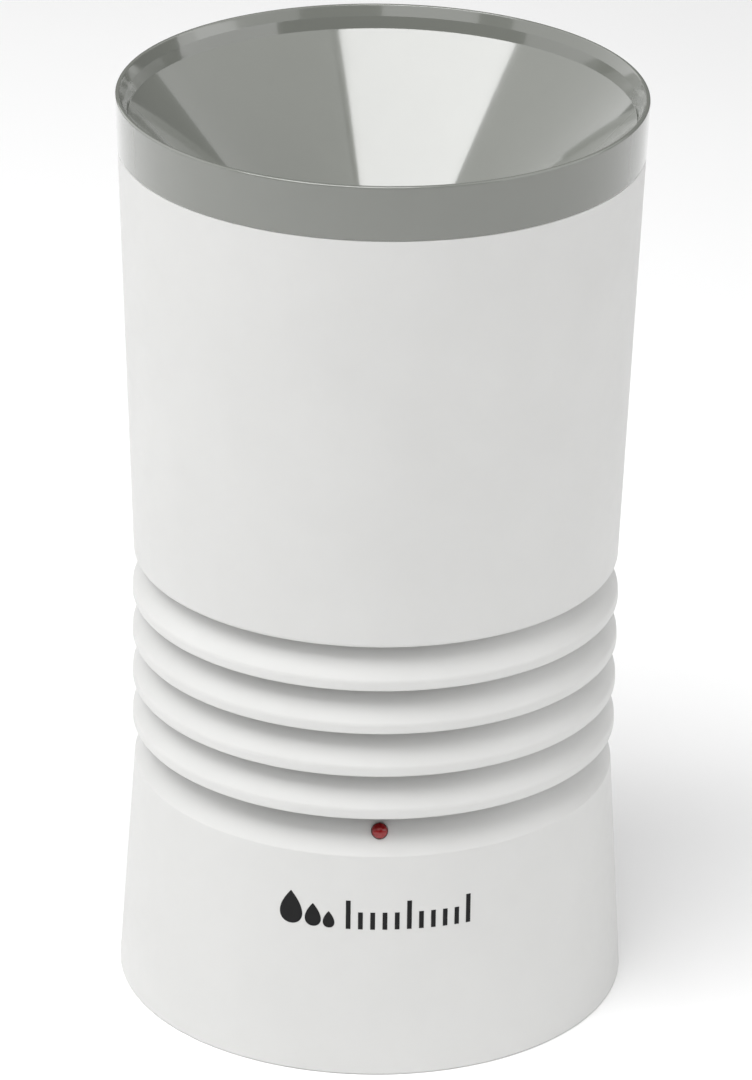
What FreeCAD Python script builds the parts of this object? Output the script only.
"""Self-emptying rain gauge with a louvred thermometer shield.

Units are millimetres. +Z is up, the origin is the centre of the foot's underside, and the
front, with the transmit lamp, faces -Y.
"""
import FreeCAD, Part
import math
import os

Vector = FreeCAD.Vector

# ---------------------------------------------------------------- outer form
HEIGHT = 218.4
RIM_RADIUS = 60.1
BAND_HEIGHT = 12.8
BAND_FOOT_RADIUS = 59.6
HOUSING_TOP = HEIGHT - BAND_HEIGHT
HOUSING_TOP_RADIUS = 59.55
HOUSING_FOOT = 106.6
HOUSING_FOOT_RADIUS = 56.0
HOUSING_WALL = 2.2
BASE_FOOT_RADIUS = 59.35
BASE_EDGE = 54.3
BASE_EDGE_RADIUS = 55.8
BASE_WALL = 2.4

# ---------------------------------------------------------------- funnel
LIP_INNER_RADIUS = 59.2
LIP_STEP_RADIUS = 58.05
LIP_DEPTH = 2.5
CONE_TOP = 213.2
CONE_TOP_RADIUS = 57.2
CONE_APEX = 151.5
CONE_RISE = (CONE_TOP - CONE_APEX) / CONE_TOP_RADIUS
CONE_WALL = 2.0
CONE_DROP = CONE_WALL * math.hypot(1.0, CONE_RISE)
WELL_RADIUS = 9.0
WELL_FLOOR = 156.0
NOZZLE_BORE = 3.2
NOZZLE_RADIUS = 4.8
NOZZLE_END = 147.5
SPIGOT_RADIUS = 56.8
SPIGOT_INNER_RADIUS = 55.2
SPIGOT_END = 199.6

# ---------------------------------------------------------------- thermometer shield
LOUVRE_COUNT = 4
LOUVRE_PITCH = 10.68
LOWEST_LIP = 64.05
LIP_RADIUS = 56.35
LIP_FACE = 2.2
LOUVRE_INNER_RADIUS = 51.0
LOUVRE_WALL = 1.8
SLOPE = math.radians(60.0)
STACK_RADIUS = 41.0
STACK_BOSS_RADIUS = 4.2
STACK_ANGLES = (45, 135, 225, 315)
STACK_SCREW_RADIUS = 1.5

# ---------------------------------------------------------------- deck and bayonet
DECK_UNDERSIDE = 108.0
DECK_FLOOR = 110.4
DECK_RADIUS = 53.3
COLLAR_RADIUS = 49.6
COLLAR_INNER_RADIUS = 47.6
COLLAR_TOP = 118.0
HOOK_RADIUS = 52.0
HOOK_UNDERSIDE = 115.2
HOOK_SWEEP = 30.0
HOOK_ANGLES = (90, 210, 330)
LUG_RADIUS = 50.0
LUG_SWEEP = 32.0
LUG_HEIGHT = 4.0
RING_INNER_RADIUS = 52.4
RING_OUTER_RADIUS = 53.5
RING_GAP = 0.3
RING_HEIGHT = 7.0
TWIST = 35.0
KEY_ANGLES = (30, 150, 270)
KEY_WIDTH = 5.0

# ---------------------------------------------------------------- tipping bucket
PIVOT = 123.5
BUCKET_LENGTH = 62.0
BUCKET_WIDTH = 23.0
BUCKET_SKIN = 1.4
BUCKET_TILT = 18.0
FLOOR_RISE = 2.0
FLOOR_HEIGHT = 3.5
PARTITION_HEIGHT = 22.0
AXLE_RADIUS = 1.0
POST_SPAN = 14.0
POST_THICKNESS = 3.0
MAGNET_RADIUS = 2.5
MAGNET_HEIGHT = 14.0
STOP_X = 23.9
STOP_TOP = 119.1

# ---------------------------------------------------------------- drains and cable
DRAIN_X = 34.0
DRAIN_SEAT_RADIUS = 6.3
DRAIN_BORE = 3.0
TUBE_RADIUS = 5.2
TUBE_BORE = 4.0
TUBE_END = 0.8
CABLE_Y = 29.0
CABLE_RADIUS = 1.5

# ---------------------------------------------------------------- base and electronics
PLATE_UNDERSIDE = 0.8
PLATE_TOP = 3.8
PLATE_RADIUS = 56.2
BASE_SCREW_RADIUS = 49.2
BOSS_OFFSET = 25.5
FIXING_HOLE_RADIUS = 1.75
FIXING_HOLE_DEPTH = 12.0
PCB_UNDERSIDE = 24.2
PCB_THICKNESS = 1.6
PCB_RADIUS = 44.6
PCB_TOP = PCB_UNDERSIDE + PCB_THICKNESS
CELL_RADIUS = 7.2
CELL_LENGTH = 49.2
CELL_SPACING = 16.2
CELL_HEIGHT = 12.0
BAY_X = 17.0
BAY_Y = 30.0
BAY_WALL = 1.6
BAY_CEILING = 20.6
DOOR_X = 19.0
DOOR_Y = 32.0
DOOR_CEILING = 3.2
DOOR_TOP = 2.4
TONGUE_TOP = 3.0
DOOR_SCREW_SEAT = 2.5
DOOR_SCREW_Y = -38.0
HINGE_Y = 33.0
BUTTON_X = 16.0
BUTTON_Y = -38.0
LAMP_RADIUS = 1.8
LAMP_Y = -52.8

SHOULDER_TOP_RADIUS = 50.8
BASE_SHOULDER_TOP = BASE_EDGE + (BASE_EDGE_RADIUS - SHOULDER_TOP_RADIUS) * math.tan(SLOPE)
LOUVRE_DROP = LOUVRE_WALL / math.cos(SLOPE)
STACK_FOOT = DECK_UNDERSIDE - LOUVRE_COUNT * LOUVRE_PITCH
FLOOR_RADIUS = 46.5
FLOOR_LEDGE_RADIUS = 45.6
FLOOR_LEDGE = 2.1


# ================================================================ helpers
def box(low, high):
    """Block from its lowest corner to its highest."""
    return Part.makeBox(high[0] - low[0], high[1] - low[1], high[2] - low[2], Vector(*low))


def rod(radius, start, end):
    """Round bar from one point to another."""
    start, end = Vector(*start), Vector(*end)
    return Part.makeCylinder(radius, (end - start).Length, start, end - start)


def post(radius, x, y, low, high):
    """Upright round bar."""
    return rod(radius, (x, y, low), (x, y, high))


def pipe(outer, inner, x, y, low, high):
    """Upright tube."""
    return post(outer, x, y, low, high).cut(post(inner, x, y, low - 1, high + 1))


def polar(radius, degrees):
    """X and Y of a point at a radius and an angle about the Z axis."""
    angle = math.radians(degrees)
    return radius * math.cos(angle), radius * math.sin(angle)


def rounded_corner(before, corner, after, radius):
    """Start, middle and end of the arc that rounds one corner of an outline."""
    to_before = (before - corner).normalize()
    to_after = (after - corner).normalize()
    half = to_before.getAngle(to_after) / 2
    bisector = (to_before + to_after).normalize()
    centre = corner + bisector * (radius / math.sin(half))
    reach = radius / math.tan(half)
    return corner + to_before * reach, centre - bisector * radius, corner + to_after * reach


def outline(corners):
    """Face in the XZ plane; each corner is (x, z) or (x, z, rounding radius)."""
    points = [Vector(corner[0], 0, corner[1]) for corner in corners]
    spans = []
    for index, corner in enumerate(corners):
        if len(corner) == 3:
            after = points[(index + 1) % len(points)]
            spans.append(rounded_corner(points[index - 1], points[index], after, corner[2]))
        else:
            spans.append((points[index], None, points[index]))
    edges = []
    for index, (start, middle, end) in enumerate(spans):
        if middle is not None:
            edges.append(Part.Arc(start, middle, end).toShape())
        edges.append(Part.makeLine(end, spans[(index + 1) % len(spans)][0]))
    return Part.Face(Part.Wire(edges))


def turned(corners):
    """Solid of revolution about Z from an outline of (radius, z) corners."""
    return outline(corners).revolve(Vector(0, 0, 0), Vector(0, 0, 1), 360)


def sector(inner, outer, low, high, middle, sweep):
    """Piece of a ring, centred on an angle in degrees."""
    whole = Part.makeCylinder(outer, high - low, Vector(0, 0, low), Vector(0, 0, 1), sweep)
    whole = whole.cut(post(inner, 0, 0, low - 1, high + 1))
    whole.rotate(Vector(0, 0, 0), Vector(0, 0, 1), middle - sweep / 2)
    return whole


def turned_about_z(shape, degrees):
    """Copy of a shape turned about the Z axis."""
    copy = shape.copy()
    copy.rotate(Vector(0, 0, 0), Vector(0, 0, 1), degrees)
    return copy


def around(shape, angles):
    """Copies of a shape turned about the Z axis."""
    return [turned_about_z(shape, angle) for angle in angles]


def slab(corners, low_y, high_y):
    """Plate with an outline of (x, z) corners, between two Y planes."""
    face = outline(corners)
    face.translate(Vector(0, low_y, 0))
    return face.extrude(Vector(0, high_y - low_y, 0))


def joined(shapes):
    """One solid from overlapping shapes."""
    return shapes[0].multiFuse(shapes[1:]).removeSplitter()


def less(shape, cutters):
    """A shape with cutters taken away."""
    return shape.cut(cutters).removeSplitter()


def bent_tube(points, radius, bend):
    """Tube along straight runs joined by tangent arcs."""
    points = [Vector(*point) for point in points]
    edges = []
    start = points[0]
    for index in range(1, len(points) - 1):
        arc = rounded_corner(points[index - 1], points[index], points[index + 1], bend)
        edges.append(Part.makeLine(start, arc[0]))
        edges.append(Part.Arc(*arc).toShape())
        start = arc[2]
    edges.append(Part.makeLine(start, points[-1]))
    section = Part.Wire(Part.makeCircle(radius, points[0], points[1] - points[0]))
    return Part.Wire(edges).makePipeShell([section], True, False)


def pan_screw(x, y, seat, tip, radius, up=1):
    """Pan-head screw with a cross recess; the head lies past its seat, up or down."""
    head_radius = 2.0 * radius
    head_height = 1.3 * radius
    top = seat + up * head_height
    head = Part.makeCylinder(head_radius, head_height, Vector(x, y, seat), Vector(0, 0, up))
    rim = [edge for edge in head.Edges if abs(edge.BoundBox.ZMin - top) < 0.01 and edge.Length > 3]
    head = head.makeFillet(0.45 * head_height, rim)
    screw = head.fuse(rod(radius, (x, y, tip), (x, y, seat + up * 0.2)))
    arm, width, depth = 0.62 * head_radius, 0.18 * head_radius, 0.55 * head_height
    low, high = sorted((top + up, top - up * depth))
    slots = [box((x - arm, y - width, low), (x + arm, y + width, high)),
             box((x - width, y - arm, low), (x + width, y + arm, high))]
    return less(screw, slots)


def cone_height(radius):
    """Height of the funnel's inner face at a radius."""
    return CONE_APEX + CONE_RISE * radius


def housing_radius(height):
    """Outer radius of the upper housing at a height."""
    share = (height - HOUSING_FOOT) / (HOUSING_TOP - HOUSING_FOOT)
    return HOUSING_FOOT_RADIUS + share * (HOUSING_TOP_RADIUS - HOUSING_FOOT_RADIUS)


def base_radius(height):
    """Outer radius of the base's wall at a height."""
    return BASE_FOOT_RADIUS + height / BASE_EDGE * (BASE_EDGE_RADIUS - BASE_FOOT_RADIUS)


def shoulder_height(radius):
    """Height of the base's sloping shoulder at a radius."""
    return BASE_EDGE + (BASE_EDGE_RADIUS - radius) * math.tan(SLOPE)


# ================================================================ collector
SCREW_CIRCLE = 51.0
BRACKET_TOP = 192.0
BRACKET_THICKNESS = 4.0


def funnel():
    """Grey funnel: rim band, cone, filter well, nozzle, spigot and three screw bosses."""
    body = turned([
        (BAND_FOOT_RADIUS, HOUSING_TOP, 0.25), (RIM_RADIUS, HEIGHT, 0.45),
        (LIP_INNER_RADIUS, HEIGHT, 0.35), (LIP_STEP_RADIUS, HEIGHT - LIP_DEPTH, 0.4),
        (CONE_TOP_RADIUS, CONE_TOP, 0.3), (WELL_RADIUS, cone_height(WELL_RADIUS), 0.8),
        (WELL_RADIUS, WELL_FLOOR), (NOZZLE_BORE, WELL_FLOOR - 1.5, 0.6),
        (NOZZLE_BORE, NOZZLE_END), (NOZZLE_RADIUS - 0.4, NOZZLE_END, 0.4),
        (NOZZLE_RADIUS, WELL_FLOOR - 4.0, 1.0), (WELL_RADIUS + 1.8, WELL_FLOOR - 1.6, 1.2),
        (WELL_RADIUS + 1.8, cone_height(WELL_RADIUS + 1.8) - CONE_DROP, 1.5),
        (SPIGOT_INNER_RADIUS, cone_height(SPIGOT_INNER_RADIUS) - CONE_DROP, 1.0),
        (SPIGOT_INNER_RADIUS, SPIGOT_END, 0.3), (SPIGOT_RADIUS, SPIGOT_END, 0.5),
        (SPIGOT_RADIUS, HOUSING_TOP)])
    bowl = turned([(0, cone_height(0) - 1), (CONE_TOP_RADIUS, CONE_TOP - 1), (CONE_TOP_RADIUS, HEIGHT),
                   (0, HEIGHT)])
    boss = post(4.0, SCREW_CIRCLE, 0, BRACKET_TOP, CONE_TOP - 4).cut(bowl)
    pilot = post(1.45, SCREW_CIRCLE, 0, BRACKET_TOP - 1, BRACKET_TOP + 9)
    return less(joined([body] + around(boss, KEY_ANGLES)), around(pilot, KEY_ANGLES))


def debris_filter():
    """Slotted leaf guard that stands in the funnel's well."""
    foot, top, skin = WELL_FLOOR + 0.3, WELL_FLOOR + 11.0, 1.3
    outer = WELL_RADIUS - 0.4
    dome = turned([(0, top), (3.0, top, 1.5), (outer - 1.2, foot + 4.0, 3.0), (outer - 0.9, foot + 2.0),
                   (outer, foot + 2.0, 0.2), (outer, foot), (outer - 2.6, foot),
                   (outer - 2.6, foot + 3.6, 2.4), (2.4, top - skin, 1.0), (0, top - skin)])
    knob = turned([(0, top - 0.2), (1.2, top - 0.2), (1.2, top + 1.2), (2.0, top + 1.8, 0.4),
                   (2.0, top + 3.0, 0.5), (0, top + 3.0)])
    slot = box((3.4, -0.8, foot + 2.6), (outer + 1, 0.8, top + 1))
    return less(joined([dome, knob]), around(slot, range(0, 360, 36)))


def upper_housing():
    """White tapered cover with three brackets for the funnel and three bayonet keys."""
    body = turned([
        (HOUSING_FOOT_RADIUS, HOUSING_FOOT, 0.9), (HOUSING_TOP_RADIUS, HOUSING_TOP, 0.25),
        (HOUSING_TOP_RADIUS - HOUSING_WALL, HOUSING_TOP),
        (HOUSING_FOOT_RADIUS - HOUSING_WALL, HOUSING_FOOT, 0.5)])
    low = BRACKET_TOP - BRACKET_THICKNESS
    wall = housing_radius(low) - HOUSING_WALL / 2
    bracket = slab([(SCREW_CIRCLE - 4.2, low, 0.8), (SCREW_CIRCLE - 4.2, BRACKET_TOP), (wall, BRACKET_TOP),
                    (wall, low)], -5, 5)
    gusset = slab([(SCREW_CIRCLE + 3.4, low + 1), (wall, low + 1), (wall, low - 10)], -1, 1)
    key = box((RING_INNER_RADIUS + 0.3, -KEY_WIDTH / 2, DECK_FLOOR + 2.6),
              (HOUSING_FOOT_RADIUS - 1.2, KEY_WIDTH / 2, DECK_FLOOR + 9))
    hole = post(1.7, SCREW_CIRCLE, 0, low - 1, BRACKET_TOP + 1)
    added = [piece for part in (bracket, gusset, key) for piece in around(part, KEY_ANGLES)]
    return less(joined([body] + added), around(hole, KEY_ANGLES))


def collector_screws():
    """Three screws that hold the funnel down on the housing's brackets."""
    screw = pan_screw(SCREW_CIRCLE, 0, BRACKET_TOP - BRACKET_THICKNESS, BRACKET_TOP + 8, 1.4, up=-1)
    return around(screw, KEY_ANGLES)


def bayonet_ring():
    """Lock ring: its lugs turn out from under the deck's hooks, its notches take the keys."""
    low = DECK_FLOOR + RING_GAP
    wall = pipe(RING_OUTER_RADIUS, RING_INNER_RADIUS, 0, 0, low, low + RING_HEIGHT)
    lug = sector(LUG_RADIUS, RING_INNER_RADIUS + 0.5, low, low + LUG_HEIGHT, 0, LUG_SWEEP)
    notch = box((RING_INNER_RADIUS - 1, -KEY_WIDTH / 2 - 0.4, low + 1.8),
                (RING_OUTER_RADIUS + 1, KEY_WIDTH / 2 + 0.4, low + RING_HEIGHT + 1))
    return less(joined([wall] + around(lug, HOOK_ANGLES)), around(notch, KEY_ANGLES))


# ================================================================ deck and bucket
REED_Y = 19.4
REED_WIDTH = 18.0
LEVEL_Y = -36.0
LEVEL_RADIUS = 8.0


def deck():
    """Collector deck: bayonet hooks, sump, bearing posts, stop posts and drain spouts."""
    hook = sector(COLLAR_RADIUS - 0.5, HOOK_RADIUS, HOOK_UNDERSIDE, COLLAR_TOP, 0, HOOK_SWEEP)
    open_end = sector(COLLAR_RADIUS - 0.5, HOOK_RADIUS, DECK_FLOOR - 0.5, DECK_FLOOR + 2.6,
                      LUG_SWEEP / 2 + TWIST + 3.0, 3.0)
    shut_end = sector(COLLAR_RADIUS - 0.5, HOOK_RADIUS, DECK_FLOOR - 0.5, DECK_FLOOR + 2.6,
                      -LUG_SWEEP / 2 - 3.0, 3.0)
    pieces = [post(DECK_RADIUS, 0, 0, DECK_UNDERSIDE, DECK_FLOOR),
              pipe(COLLAR_RADIUS, COLLAR_INNER_RADIUS, 0, 0, DECK_FLOOR - 0.5, COLLAR_TOP)]
    for piece in (hook, open_end, shut_end):
        pieces += around(piece, HOOK_ANGLES)
    for side in (-1, 1):
        low, high = sorted((side * POST_SPAN, side * (POST_SPAN + POST_THICKNESS)))
        pieces.append(slab([(-7.0, DECK_FLOOR - 0.5), (-4.2, PIVOT + 4.2, 3.0), (4.2, PIVOT + 4.2, 3.0),
                            (7.0, DECK_FLOOR - 0.5)], low, high))
        pieces.append(post(3.4, side * STOP_X, 0, DECK_FLOOR - 0.5, DECK_FLOOR + 4.6))
        pieces.append(post(DRAIN_BORE + 0.9, side * DRAIN_X, 0, DECK_UNDERSIDE - 7, DECK_UNDERSIDE + 0.5))
        edge = side * (REED_WIDTH / 2 + 1.2)
        pieces.append(box((edge - 1, REED_Y - 1.4, DECK_FLOOR - 0.5), (edge + 1, REED_Y + 3.0, DECK_FLOOR + 12)))
        for along in (-1, 1):
            rib_y = along * (BUCKET_WIDTH / 2 + 3.0)
            low_x, high_x = sorted((side * 22.0, side * (COLLAR_INNER_RADIUS - 3.0)))
            pieces.append(box((low_x, rib_y - 0.7, DECK_FLOOR - 0.5), (high_x, rib_y + 0.7, DECK_FLOOR + 5)))
    cutters = [post(CABLE_RADIUS + 2.0, 0, CABLE_Y, DECK_UNDERSIDE - 1, DECK_FLOOR + 1),
               rod(3.0, (0, -POST_SPAN - 4, PIVOT), (0, POST_SPAN + 4, PIVOT))]
    for side in (-1, 1):
        cutters.append(post(DRAIN_BORE, side * DRAIN_X, 0, DECK_UNDERSIDE - 8, DECK_FLOOR + 1))
        cutters.append(post(DRAIN_SEAT_RADIUS, side * DRAIN_X, 0, DECK_FLOOR - 1.2, DECK_FLOOR + 1))
        cutters.append(post(1.55, side * STOP_X, 0, DECK_FLOOR + 0.6, DECK_FLOOR + 6))
    cutters += [post(1.75, *polar(STACK_RADIUS, angle), DECK_UNDERSIDE - 1, DECK_FLOOR + 1)
                for angle in STACK_ANGLES]
    return less(joined(pieces), cutters)


def pivot_bushes():
    """Two low-friction bushes for the bucket's axle."""
    bushes = []
    for side in (-1, 1):
        inner, outer = side * (POST_SPAN - 0.6), side * (POST_SPAN + POST_THICKNESS)
        sleeve = rod(2.96, (0, side * (POST_SPAN - 0.3), PIVOT), (0, outer, PIVOT))
        flange = rod(3.9, (0, inner, PIVOT), (0, side * POST_SPAN, PIVOT))
        bore = rod(AXLE_RADIUS + 0.06, (0, inner - side, PIVOT), (0, outer + side, PIVOT))
        bushes.append(less(joined([sleeve, flange]), [bore]))
    return bushes


def stop_screws():
    """Two slotted screws that set how far the bucket tips."""
    screws = []
    for side in (-1, 1):
        x = side * STOP_X
        slot = box((x - 2, -0.3, STOP_TOP - 0.8), (x + 2, 0.3, STOP_TOP + 1))
        screws.append(less(post(1.5, x, 0, DECK_FLOOR + 1.0, STOP_TOP), [slot]))
    return screws


def tilted(shape):
    """The bucket's parts lean to the left at rest."""
    shape.rotate(Vector(0, 0, PIVOT), Vector(0, 1, 0), -BUCKET_TILT)
    return shape


def tipping_bucket():
    """Two-chamber bucket: sloping floor, partition, side walls, pivot boss, magnet cup."""
    half, side = BUCKET_LENGTH / 2, BUCKET_WIDTH / 2
    floor, end = PIVOT + FLOOR_HEIGHT, PIVOT + FLOOR_HEIGHT + FLOOR_RISE
    crest = PIVOT + PARTITION_HEIGHT
    tray = slab([(-half, end), (0, floor), (half, end), (half, end - BUCKET_SKIN, 0.4),
                 (0, floor - BUCKET_SKIN), (-half, end - BUCKET_SKIN, 0.4)], -side, side)
    wall = [(-half, end - BUCKET_SKIN, 0.4), (-half, end + 2.0, 1.2), (-4.0, crest, 3.0), (4.0, crest, 3.0),
            (half, end + 2.0, 1.2), (half, end - BUCKET_SKIN, 0.4), (0, floor - BUCKET_SKIN)]
    partition = slab([(-1.1, floor - 0.5), (-0.6, crest, 0.3), (0.6, crest, 0.3), (1.1, floor - 0.5)],
                     -side + 0.5, side - 0.5)
    web = box((-2.2, -side, PIVOT), (2.2, side, floor - 0.5))
    boss = rod(3.0, (0, -side, PIVOT), (0, side, PIVOT))
    cup = rod(MAGNET_RADIUS + 1.0, (0, side - 0.5, PIVOT + MAGNET_HEIGHT), (0, side + 1.6, PIVOT + MAGNET_HEIGHT))
    solid = joined([tray, slab(wall, -side, -side + BUCKET_SKIN), slab(wall, side - BUCKET_SKIN, side),
                    partition, web, boss, cup])
    bore = rod(AXLE_RADIUS + 0.01, (0, -side - 1, PIVOT), (0, side + 1, PIVOT))
    pocket = rod(MAGNET_RADIUS + 0.02, (0, side, PIVOT + MAGNET_HEIGHT), (0, side + 3, PIVOT + MAGNET_HEIGHT))
    return tilted(less(solid, [bore, pocket]))


def bucket_axle():
    """Steel axle, fixed in the bucket's boss."""
    end = POST_SPAN + POST_THICKNESS + 0.8
    return Part.makeCylinder(AXLE_RADIUS, 2 * end, Vector(0, -end, PIVOT), Vector(0, 1, 0))


def bucket_magnet():
    """Disc magnet that passes the reed switch at each tip."""
    back = BUCKET_WIDTH / 2
    return tilted(rod(MAGNET_RADIUS, (0, back, PIVOT + MAGNET_HEIGHT), (0, back + 2.2, PIVOT + MAGNET_HEIGHT)))


def reed_board():
    """Upright circuit board behind the bucket."""
    return box((-REED_WIDTH / 2, REED_Y, DECK_FLOOR + 0.2), (REED_WIDTH / 2, REED_Y + 1.6, PIVOT + 20))


def reed_switch():
    """Glass reed capsule with its two leads."""
    height, y = PIVOT + MAGNET_HEIGHT, REED_Y - 1.6
    capsule = rod(1.2, (-6.0, y, height), (6.0, y, height))
    leads = rod(0.3, (-8.0, y, height), (8.0, y, height))
    pieces = [capsule, leads]
    for side in (-1, 1):
        pieces.append(rod(0.3, (side * 7.8, y - 0.2, height), (side * 7.8, REED_Y, height)))
    return joined(pieces)


def signal_cable():
    """Cable from the reed board down through the shield to the main board."""
    start_y = REED_Y + 1.6
    route = [(0, start_y, DECK_FLOOR + 10), (0, CABLE_Y, DECK_FLOOR + 10), (0, CABLE_Y, PCB_TOP + 3.0)]
    return bent_tube(route, CABLE_RADIUS, 5.0)


def cable_grommets():
    """Rubber grommets where the cable passes the deck and the top of the base."""
    grommets = []
    for middle in ((DECK_UNDERSIDE + DECK_FLOOR) / 2, BASE_SHOULDER_TOP - BASE_WALL / 2):
        grommets.append(turned([(CABLE_RADIUS + 0.02, middle - 2.2), (CABLE_RADIUS + 3.4, middle - 2.2, 0.4),
                                (CABLE_RADIUS + 3.4, middle - 1.25), (CABLE_RADIUS + 1.95, middle - 1.25),
                                (CABLE_RADIUS + 1.95, middle + 1.25), (CABLE_RADIUS + 3.4, middle + 1.25),
                                (CABLE_RADIUS + 3.4, middle + 2.2, 0.4), (CABLE_RADIUS + 0.02, middle + 2.2)]))
        grommets[-1].translate(Vector(0, CABLE_Y, 0))
    return grommets


def moved(shape, x, y):
    """A shape made on the axis, moved sideways."""
    shape.translate(Vector(x, y, 0))
    return shape


def level_cup():
    """White cup of the round spirit level."""
    low = DECK_FLOOR
    return moved(turned([(0, low), (LEVEL_RADIUS + 0.6, low, 0.4), (LEVEL_RADIUS, low + 6.4, 0.6),
                         (LEVEL_RADIUS - 1.2, low + 6.4, 0.3), (LEVEL_RADIUS - 1.2, low + 1.4), (0, low + 1.4)]),
                 0, LEVEL_Y)


def level_fluid():
    """Tinted fluid of the level, with its bubble."""
    low = DECK_FLOOR + 1.4
    fluid = post(LEVEL_RADIUS - 1.25, 0, LEVEL_Y, low, low + 3.4)
    bubble = moved(turned([(0, low + 2.2), (2.1, low + 2.2, 0.8), (2.1, low + 4), (0, low + 4)]), 0, LEVEL_Y)
    return less(fluid, [bubble])


def level_lens():
    """Clear domed lens of the level."""
    low, radius = DECK_FLOOR + 4.8, LEVEL_RADIUS - 1.25
    return moved(turned([(0, low), (radius, low), (radius, low + 1.2, 0.5), (radius * 0.5, low + 1.8, 6.0),
                         (0, low + 1.9)]), 0, LEVEL_Y)


def drain_screens():
    """Two slotted insect screens in the deck's drains."""
    low = DECK_FLOOR - 1.2
    screen = turned([(0, low), (DRAIN_SEAT_RADIUS - 0.1, low), (DRAIN_SEAT_RADIUS - 0.1, low + 1.6, 0.4),
                     (DRAIN_SEAT_RADIUS - 1.4, low + 1.6), (DRAIN_SEAT_RADIUS - 1.4, low + 1.0),
                     (0, low + 1.0)])
    slots = [box((-(4.4 - abs(row)), row * 1.8 - 0.45, low - 1), (4.4 - abs(row), row * 1.8 + 0.45, low + 2))
             for row in range(-2, 3)]
    screen = less(screen, slots)
    return [moved(screen.copy(), side * DRAIN_X, 0) for side in (-1, 1)]


def drain_tubes():
    """Two tubes that lead the tipped water down through the shield and the base."""
    return [pipe(TUBE_RADIUS, TUBE_BORE, side * DRAIN_X, 0, TUBE_END, DECK_UNDERSIDE - 2.5) for side in (-1, 1)]


def tube_seals():
    """Rubber rings round the drain tubes at the top and the bottom of the base."""
    seals = []
    for side in (-1, 1):
        for low in (BASE_SHOULDER_TOP, PLATE_TOP):
            ring = turned([(TUBE_RADIUS + 0.02, low), (TUBE_RADIUS + 2.4, low, 0.5),
                           (TUBE_RADIUS + 1.0, low + 2.4, 0.4), (TUBE_RADIUS + 0.02, low + 2.4)])
            seals.append(moved(ring, side * DRAIN_X, 0))
    return seals


# ================================================================ thermometer shield
def louvre(index):
    """Sloping ring with a rounded lip and four stacking bosses; index 0 is the lowest."""
    lip = LOWEST_LIP + index * LOUVRE_PITCH
    rise = math.tan(SLOPE)
    inner_top = lip + LIP_FACE + (LIP_RADIUS - LOUVRE_INNER_RADIUS) * rise
    ring = turned([
        (LIP_RADIUS - 1.5, lip, 0.3), (LIP_RADIUS, lip, 0.35), (LIP_RADIUS - 0.1, lip + LIP_FACE, 2.2),
        (LOUVRE_INNER_RADIUS, inner_top, 0.5),
        (LOUVRE_INNER_RADIUS - LOUVRE_WALL * math.sin(SLOPE), inner_top - LOUVRE_WALL * math.cos(SLOPE), 0.5),
        (LIP_RADIUS - 1.5, lip + LIP_FACE - LOUVRE_DROP + 1.5 * rise, 1.0)])
    low = STACK_FOOT + index * LOUVRE_PITCH
    boss = post(STACK_BOSS_RADIUS, STACK_RADIUS, 0, low, low + LOUVRE_PITCH)
    web = slab([(STACK_RADIUS, lip + 3.0), (STACK_RADIUS, lip + 9.5), (LOUVRE_INNER_RADIUS + 0.6, lip + 9.5),
                (LOUVRE_INNER_RADIUS + 2.0, lip + 7.0), (LOUVRE_INNER_RADIUS + 2.0, lip + 5.0)], -1.2, 1.2)
    hole = post(1.75, STACK_RADIUS, 0, low - 1, low + LOUVRE_PITCH + 1)
    pieces = [ring] + around(boss, STACK_ANGLES) + around(web, STACK_ANGLES)
    return less(joined(pieces), around(hole, STACK_ANGLES))


def stack_screws():
    """Four long screws that clamp deck and louvres to the base."""
    return [pan_screw(*polar(STACK_RADIUS, angle), DECK_FLOOR, BASE_SHOULDER_TOP - 11, STACK_SCREW_RADIUS)
            for angle in STACK_ANGLES]


CAGE_RADIUS = 11.0
CAGE_TOP = 88.0


def sensor_cage():
    """Slotted cap over the temperature sensor."""
    low = BASE_SHOULDER_TOP
    cap = turned([(CAGE_RADIUS + 2.0, low), (CAGE_RADIUS + 2.0, low + 1.4, 0.4), (CAGE_RADIUS, low + 1.4, 0.6),
                  (CAGE_RADIUS - 0.6, CAGE_TOP, 2.0), (0, CAGE_TOP), (0, CAGE_TOP - 1.4),
                  (CAGE_RADIUS - 2.0, CAGE_TOP - 1.4, 1.0), (CAGE_RADIUS - 1.4, low)])
    slot = box((CAGE_RADIUS - 4, -1.1, low + 4), (CAGE_RADIUS + 3, 1.1, CAGE_TOP - 4))
    return less(cap, around(slot, range(0, 360, 30)))


def temperature_sensor():
    """Small upright sensor board with its chip."""
    low = BASE_SHOULDER_TOP + 0.2
    board = box((-5.5, -0.6, low), (5.5, 0.6, low + 18))
    chip = box((-1.6, -1.7, low + 11), (1.6, -0.6, low + 14.2))
    return [board, chip]


def sensor_leads():
    """Three pins from the sensor board down to the main board."""
    return [post(0.35, x, 1.0, PCB_TOP, BASE_SHOULDER_TOP + 4) for x in (-2.54, 0, 2.54)]


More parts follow.
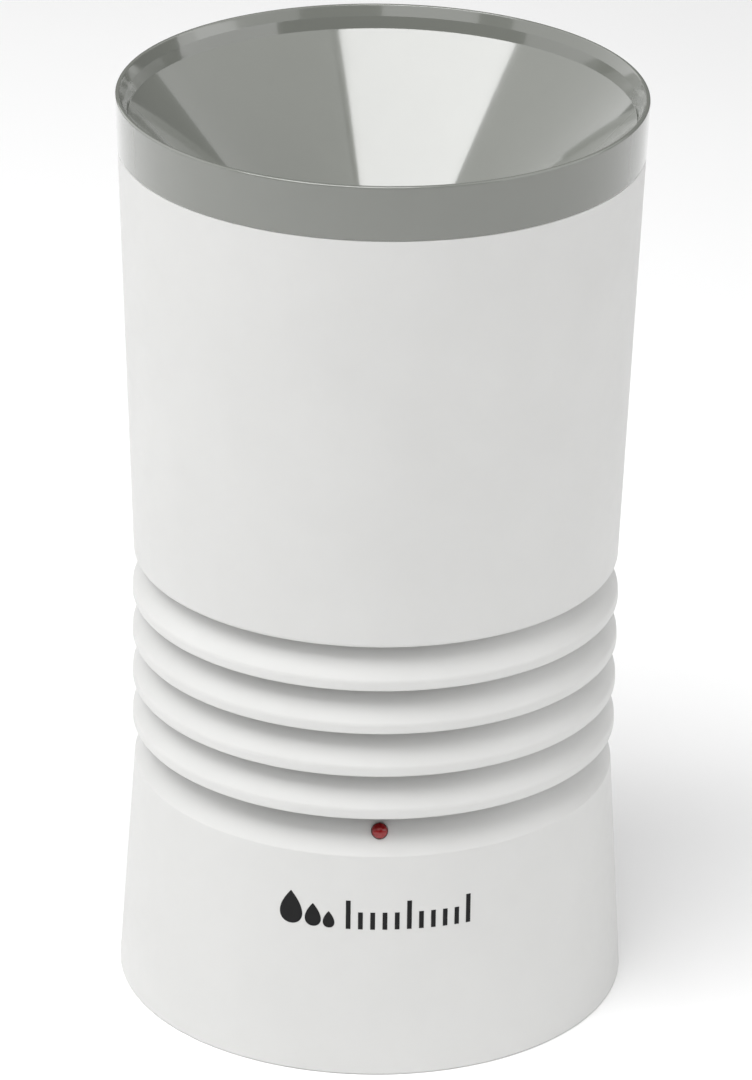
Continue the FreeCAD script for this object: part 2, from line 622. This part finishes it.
# ================================================================ base
def base_housing():
    """White base: flared wall, sloping shoulder, ledge for the shield's floor, screw posts and seal ledge."""
    top, skin = BASE_SHOULDER_TOP, BASE_WALL
    inner_edge = BASE_EDGE_RADIUS - skin
    mouth, seat = FLOOR_RADIUS + 0.1, BASE_SHOULDER_TOP - BASE_WALL
    body = turned([
        (BASE_FOOT_RADIUS, 0, 0.5), (BASE_EDGE_RADIUS, BASE_EDGE, 0.8), (SHOULDER_TOP_RADIUS, top, 1.2),
        (mouth, top, 0.2), (mouth, seat), (FLOOR_LEDGE_RADIUS, seat), (FLOOR_LEDGE_RADIUS, seat - FLOOR_LEDGE),
        (SHOULDER_TOP_RADIUS - 0.2, seat - FLOOR_LEDGE), (inner_edge, BASE_EDGE - 1.2, 1.0),
        (BASE_FOOT_RADIUS - skin, 0, 0.3)])
    ledge = turned([(PLATE_RADIUS - 2.7, PLATE_TOP + 2.0), (base_radius(6) - 1.0, PLATE_TOP + 2.0),
                    (base_radius(8) - 1.0, PLATE_TOP + 4.0), (PLATE_RADIUS - 2.7, PLATE_TOP + 4.0)])
    core = turned([(0, 0), (BASE_FOOT_RADIUS - skin / 2, 0), (BASE_EDGE_RADIUS - skin / 2, BASE_EDGE - 0.5),
                   (SHOULDER_TOP_RADIUS - 0.5, seat - FLOOR_LEDGE / 2), (0, seat - FLOOR_LEDGE / 2)])
    pieces = [body, ledge]
    cutters = []
    for angle in STACK_ANGLES:
        x, y = polar(BASE_SCREW_RADIUS, angle)
        pieces.append(post(4.0, x, y, PLATE_TOP, seat - 1).common(core))
        cutters.append(post(1.45, x, y, PLATE_TOP - 1, PLATE_TOP + 12))
        x, y = polar(STACK_RADIUS, angle)
        cutters.append(post(STACK_BOSS_RADIUS + 0.3, x, y, top - 14, top))
    axis = lamp_axis()
    cutters.append(Part.makeCylinder(LAMP_RADIUS + 0.12, 12, lamp_seat() - axis * 6, axis))
    cutters.append(Part.makeCylinder(LAMP_RADIUS + 0.5, 4, lamp_seat() - axis * 9.1, axis))
    return less(joined(pieces), cutters)


def shield_floor():
    """White disc welded into the base's top, with the bosses that the louvres are screwed to."""
    top, low = BASE_SHOULDER_TOP, BASE_SHOULDER_TOP - BASE_WALL
    pieces = [turned([(0, low), (FLOOR_RADIUS, low), (FLOOR_RADIUS, top, 0.4), (0, top)])]
    cutters = [post(CABLE_RADIUS + 2.0, 0, CABLE_Y, low - 1, top + 1)]
    for angle in STACK_ANGLES:
        x, y = polar(STACK_RADIUS, angle)
        pieces.append(post(STACK_BOSS_RADIUS, x, y, top - 13, STACK_FOOT))
        cutters.append(post(STACK_SCREW_RADIUS + 0.03, x, y, top - 12, STACK_FOOT + 1))
    for side in (-1, 1):
        cutters.append(post(TUBE_RADIUS + 0.3, side * DRAIN_X, 0, low - 1, top + 1))
    for x in (-2.54, 0, 2.54):
        cutters.append(post(0.6, x, 1.0, low - 1, top + 1))
    return less(joined(pieces), cutters)


def lamp_axis():
    """Outward direction of the lamp, square to the shoulder."""
    return Vector(0, -math.sin(SLOPE), math.cos(SLOPE))


def lamp_seat():
    """Where the lamp's axis meets the shoulder."""
    return Vector(0, LAMP_Y, shoulder_height(-LAMP_Y))


def status_led():
    """Red transmit lamp: round body with a domed end."""
    lamp = turned([(0, -6.0), (LAMP_RADIUS + 0.4, -6.0), (LAMP_RADIUS + 0.4, -5.2), (LAMP_RADIUS, -5.2),
                   (LAMP_RADIUS, 1.1, 1.0), (0.5, 1.75, 0.6), (0, 1.75)])
    lamp.rotate(Vector(0, 0, 0), Vector(1, 0, 0), math.degrees(SLOPE))
    lamp.translate(lamp_seat())
    return lamp


def led_leads():
    """Two wires from the lamp to the main board."""
    back = lamp_seat() - lamp_axis() * 6.0
    leads = []
    for x in (-1.0, 1.0):
        turn = back - lamp_axis() * 6.5
        route = [(x, back.y, back.z), (x, turn.y, turn.z), (x, turn.y, PCB_TOP)]
        leads.append(bent_tube(route, 0.3, 2.5))
    return leads


def base_plate():
    """Bottom plate with the battery bay, fixing bosses, button guide and door recess."""
    bay_outer = (BAY_X + BAY_WALL, BAY_Y + BAY_WALL)
    pieces = [post(PLATE_RADIUS, 0, 0, PLATE_UNDERSIDE, PLATE_TOP),
              box((-bay_outer[0], -bay_outer[1], PLATE_TOP - 0.5), (bay_outer[0], bay_outer[1], BAY_CEILING + 1.4)),
              pipe(6.0, 4.8, BUTTON_X, BUTTON_Y, PLATE_TOP - 0.5, PLATE_TOP + 8),
              post(4.2, 0, DOOR_SCREW_Y, PLATE_TOP - 0.5, PLATE_TOP + 8)]
    cutters = [box((-BAY_X, -BAY_Y, PLATE_UNDERSIDE - 1), (BAY_X, BAY_Y, BAY_CEILING)),
               box((-DOOR_X, -DOOR_Y, PLATE_UNDERSIDE - 1), (DOOR_X, DOOR_Y, DOOR_CEILING)),
               box((-6.5, DOOR_SCREW_Y - 4.5, PLATE_UNDERSIDE - 1), (6.5, -DOOR_Y + 1, DOOR_CEILING)),
               post(3.3, BUTTON_X, BUTTON_Y, PLATE_UNDERSIDE - 1, PLATE_TOP + 1),
               post(1.65, 0, DOOR_SCREW_Y, PLATE_UNDERSIDE, PLATE_TOP + 7)]
    for side in (-1, 1):
        cutters.append(post(TUBE_RADIUS + 0.3, side * DRAIN_X, 0, PLATE_UNDERSIDE - 1, PLATE_TOP + 1))
        low, high = sorted((side * 7.0, side * 13.0))
        cutters.append(box((low, DOOR_Y - 1, PLATE_UNDERSIDE - 1), (high, DOOR_Y + 2.8, DOOR_CEILING)))
    for angle in STACK_ANGLES:
        x, y = polar(BOSS_OFFSET * math.sqrt(2), angle)
        pieces.append(post(4.5, x, y, PLATE_TOP - 0.5, PCB_UNDERSIDE))
        cutters.append(post(FIXING_HOLE_RADIUS, x, y, PLATE_UNDERSIDE - 1, PLATE_UNDERSIDE + FIXING_HOLE_DEPTH))
        cutters.append(post(1.1, x, y, PCB_UNDERSIDE - 7, PCB_UNDERSIDE + 1))
        x, y = polar(BASE_SCREW_RADIUS, angle)
        cutters.append(post(1.8, x, y, PLATE_UNDERSIDE - 1, PLATE_TOP + 1))
        cutters.append(post(3.3, x, y, PLATE_UNDERSIDE - 1, PLATE_UNDERSIDE + 1.9))
    return less(joined(pieces), cutters)


def base_seal():
    """O-ring between the bottom plate and the base's ledge."""
    return Part.makeTorus(PLATE_RADIUS - 1.5, 1.0, Vector(0, 0, PLATE_TOP + 1.0), Vector(0, 0, 1))


def base_screws():
    """Four screws that hold the bottom plate."""
    return [pan_screw(*polar(BASE_SCREW_RADIUS, angle), PLATE_UNDERSIDE + 1.9, PLATE_TOP + 11, 1.4, up=-1)
            for angle in STACK_ANGLES]


def battery(side):
    """One AA cell, its button towards the front on the left and the back on the right."""
    half, x = CELL_LENGTH / 2, side * CELL_SPACING / 2
    cell = turned([(0, -half), (CELL_RADIUS, -half, 0.8), (CELL_RADIUS, half, 0.8), (2.75, half),
                   (2.75, half + 1.2, 0.3), (0, half + 1.2)])
    cell.rotate(Vector(0, 0, 0), Vector(1, 0, 0), -side * 90)
    cell.translate(Vector(x, 0, CELL_HEIGHT))
    return cell


def battery_contacts():
    """Two flat contacts and two coil contacts at the ends of the bay."""
    pieces = []
    for side in (-1, 1):
        for end in (-1, 1):
            x = side * CELL_SPACING / 2
            wall = end * BAY_Y
            low, high = sorted((wall, wall - end * 0.5))
            pieces.append(box((x - 5, low, CELL_HEIGHT - 6), (x + 5, high, CELL_HEIGHT + 6)))
            if side != end:
                continue
            start = wall - end * 0.5
            pieces.append(rod(2.4, (x, start, CELL_HEIGHT), (x, end * (CELL_LENGTH / 2 + 1.3), CELL_HEIGHT)))
    for side in (-1, 1):
        x, end = side * CELL_SPACING / 2, -side
        for turn in range(4):
            y = end * (BAY_Y - 1.1 - 1.05 * turn)
            pieces.append(Part.makeTorus(4.6 - 0.6 * turn, 0.45, Vector(x, y, CELL_HEIGHT), Vector(0, 1, 0)))
    return pieces


def main_pcb():
    """Round main board with openings for the drain tubes."""
    board = post(PCB_RADIUS, 0, 0, PCB_UNDERSIDE, PCB_TOP)
    cutters = [post(TUBE_RADIUS + 0.6, side * DRAIN_X, 0, PCB_UNDERSIDE - 1, PCB_TOP + 1) for side in (-1, 1)]
    for angle in STACK_ANGLES:
        x, y = polar(BOSS_OFFSET * math.sqrt(2), angle)
        cutters.append(post(1.3, x, y, PCB_UNDERSIDE - 1, PCB_TOP + 1))
    return less(board, cutters)


def pcb_components():
    """Controller, capacitors, crystal and cable socket on the main board."""
    top = PCB_TOP
    parts = [box((-6, -24, top), (6, -12, top + 1.6)), box((11, -19, top), (16, -17, top + 1.0)),
             box((-3.5, CABLE_Y - 3, top), (3.5, CABLE_Y + 3, top + 3.0)),
             box((-20, -16, top), (-13, -12, top + 3.4))]
    for x, y in ((14, -28), (-15, -28)):
        parts.append(post(3.1, x, y, top, top + 7.0))
    for column in range(5):
        x = 8 + 3.2 * column
        parts.append(box((x, 14, top), (x + 1.6, 17.2, top + 0.7)))
    return parts


def rf_module():
    """Radio module under its metal can."""
    top = PCB_TOP
    board = box((-22, 6, top + 0.4), (-6, 22, top + 1.2))
    can = box((-20.5, 9, top + 1.2), (-7.5, 20.5, top + 3.6))
    return [board, can]


def antenna():
    """Wire aerial: a foot and a long level arc round the back of the base."""
    radius, wire, height = 38.0, 0.7, PCB_TOP + 11
    loop = Part.makeTorus(radius, wire, Vector(0, 0, height), Vector(0, 0, 1), -180, 180, 130)
    loop.rotate(Vector(0, 0, 0), Vector(0, 0, 1), 25)
    x, y = polar(radius, 155)
    knee = Part.makeSphere(wire, Vector(x, y, height))
    return joined([loop, knee, post(wire, x, y, PCB_TOP, height)])


def pcb_screws():
    """Four screws that hold the main board."""
    return [pan_screw(*polar(BOSS_OFFSET * math.sqrt(2), angle), PCB_TOP, PCB_UNDERSIDE - 6, 1.05)
            for angle in STACK_ANGLES]


def reset_switch():
    """Push switch under the main board."""
    half = 2.5
    case = box((BUTTON_X - half, BUTTON_Y - half, PCB_UNDERSIDE - 3.5),
               (BUTTON_X + half, BUTTON_Y + half, PCB_UNDERSIDE))
    return less(case, [post(2.0, BUTTON_X, BUTTON_Y, PCB_UNDERSIDE - 5, PCB_UNDERSIDE - 1.0)])


def reset_button():
    """Recessed push button with its long plunger."""
    low = PLATE_UNDERSIDE + 0.5
    button = turned([(0, low + 0.3), (2.2, low + 0.3, 0.8), (3.0, low, 0.2), (3.0, PLATE_TOP + 0.3),
                     (4.4, PLATE_TOP + 0.3), (4.4, PLATE_TOP + 1.4), (1.6, PLATE_TOP + 1.4),
                     (1.6, PCB_UNDERSIDE - 2.6, 0.3), (0, PCB_UNDERSIDE - 2.6)])
    return moved(button, BUTTON_X, BUTTON_Y)


# ================================================================ battery door
def battery_door():
    """Flush door with two hinge tabs, a screw tongue and finger ribs."""
    side, end = DOOR_X - 0.5, DOOR_Y - 0.8
    pieces = [box((-side, -end, PLATE_UNDERSIDE), (side, end, DOOR_TOP)),
              box((-6.0, DOOR_SCREW_Y - 4.0, PLATE_UNDERSIDE), (6.0, -end + 1, DOOR_TOP)),
              box((-6.0, DOOR_SCREW_Y - 4.0, PLATE_UNDERSIDE), (6.0, -DOOR_Y + 0.4, TONGUE_TOP))]
    for x in (-10.0, 10.0):
        pieces.append(box((x - 2.5, end - 1, PLATE_UNDERSIDE + 0.2), (x + 2.5, HINGE_Y + 0.9, DOOR_TOP)))
    cutters = [post(1.4, 0, DOOR_SCREW_Y, PLATE_UNDERSIDE - 1, DOOR_TOP + 1),
               post(2.8, 0, DOOR_SCREW_Y, PLATE_UNDERSIDE - 1, DOOR_SCREW_SEAT)]
    for row in range(5):
        y = -22.0 + 2.6 * row
        cutters.append(box((-9, y - 0.5, PLATE_UNDERSIDE - 1), (9, y + 0.5, PLATE_UNDERSIDE + 0.5)))
    return less(joined(pieces), cutters)


def door_seal():
    """Flat gasket on the inside of the door."""
    outer = (DOOR_X - 0.8, DOOR_Y - 1.1)
    inner = (BAY_X - 0.4, BAY_Y - 0.4)
    ring = box((-outer[0], -outer[1], DOOR_TOP), (outer[0], outer[1], DOOR_TOP + 0.6))
    return less(ring, [box((-inner[0], -inner[1], DOOR_TOP - 1), (inner[0], inner[1], DOOR_TOP + 2))])


def door_screw():
    """Captive screw at the front of the door."""
    return pan_screw(0, DOOR_SCREW_Y, DOOR_SCREW_SEAT, PLATE_TOP + 4.5, 1.25, up=-1)


# ================================================================ export
def write(name, shape):
    """Write one node's STEP file, after checking that its solids are sound."""
    if isinstance(shape, list):
        shape = Part.makeCompound(shape)
    for solid in shape.Solids:
        if not solid.isValid() or solid.Volume <= 0:
            raise ValueError("bad solid in " + name)
    shape.exportStep(os.path.join("parts", name + ".step"))


def main():
    """Make every node."""
    os.makedirs("parts", exist_ok=True)
    makers = (funnel, debris_filter, upper_housing, collector_screws, bayonet_ring, deck, pivot_bushes,
              stop_screws, tipping_bucket, bucket_axle, bucket_magnet, reed_board, reed_switch, signal_cable,
              cable_grommets, level_cup, level_fluid, level_lens, drain_screens, drain_tubes, tube_seals,
              stack_screws, sensor_cage, temperature_sensor, sensor_leads, base_housing, shield_floor, status_led,
              led_leads, base_plate, base_seal, base_screws, battery_contacts, main_pcb, pcb_components, rf_module,
              antenna, pcb_screws, reset_switch, reset_button, battery_door, door_seal, door_screw)
    for maker in makers:
        write(maker.__name__, maker())
    for index in range(LOUVRE_COUNT):
        write("louvre_%d" % (LOUVRE_COUNT - index), louvre(index))
    for side, name in ((-1, "battery_left"), (1, "battery_right")):
        write(name, battery(side))


main()
